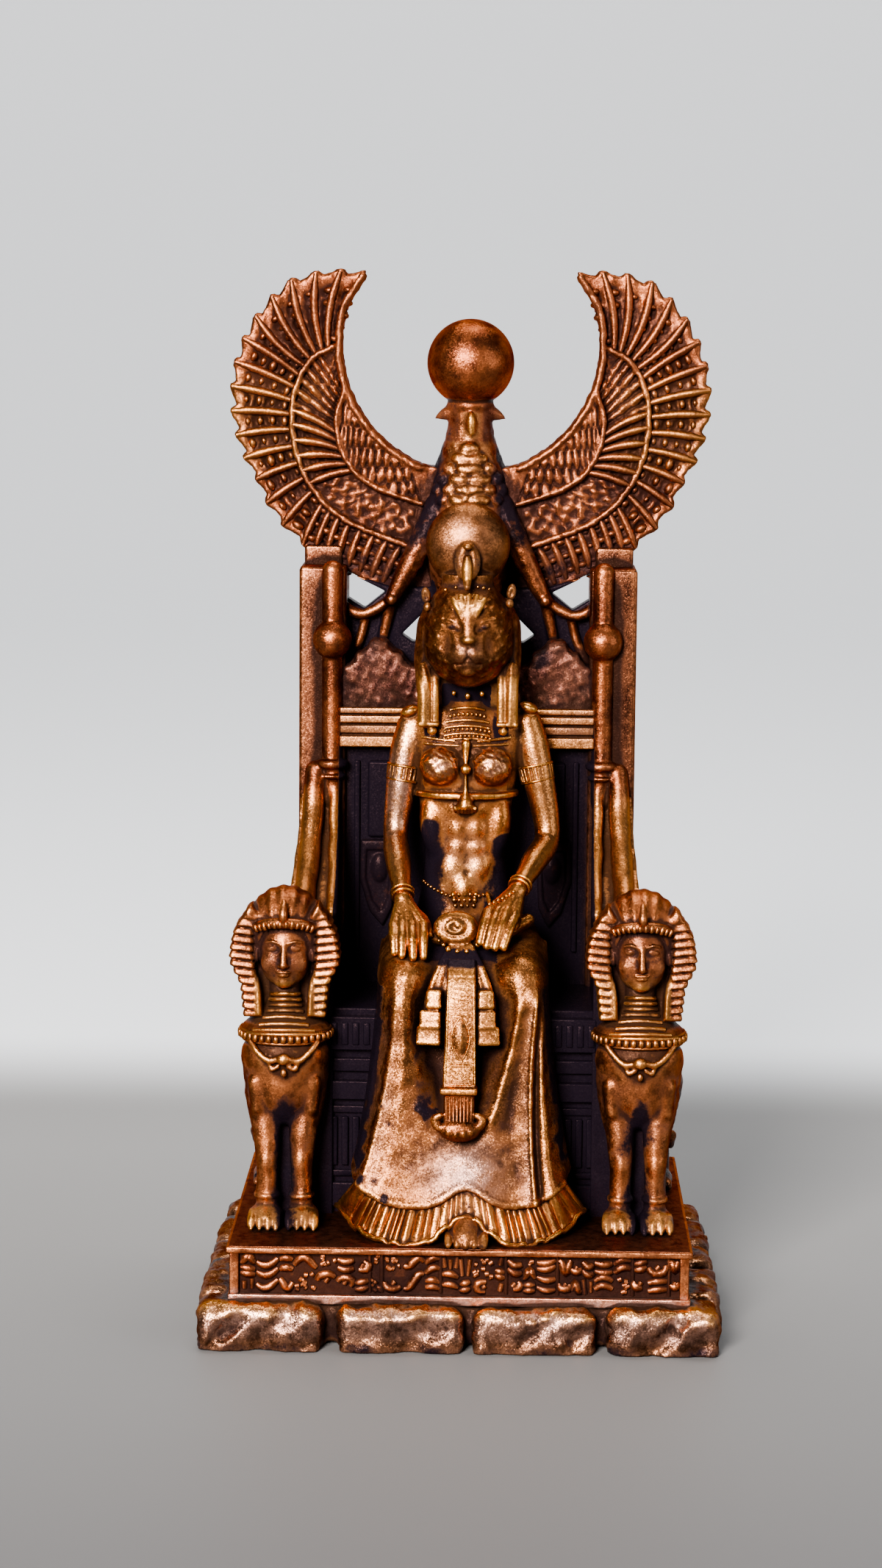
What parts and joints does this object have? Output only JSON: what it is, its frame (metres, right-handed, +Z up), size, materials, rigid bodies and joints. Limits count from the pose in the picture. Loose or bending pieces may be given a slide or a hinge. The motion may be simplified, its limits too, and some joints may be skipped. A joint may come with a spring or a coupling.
{
  "type": "bastet cat statue",
  "caption": "Small cast figurine: a cat-headed goddess seated on a falcon-winged throne between two sphinxes, on an inscribed slab and rock base.",
  "frame": {"origin": "middle of the rock base's outline, on its flat underside", "axes": "+Z up through the throne, -Y the way the goddess faces, +X towards her left hand"},
  "size_m": [0.045, 0.036, 0.0911],
  "materials": {
    "patinated_casting": "copper-bronze metal-flake paint, gold on the high spots, dark brown to purple-black patina in the hollows"
  },
  "bodies": {
    "root": {"bastet_statue": "patinated_casting"}
  },
  "joints": []
}
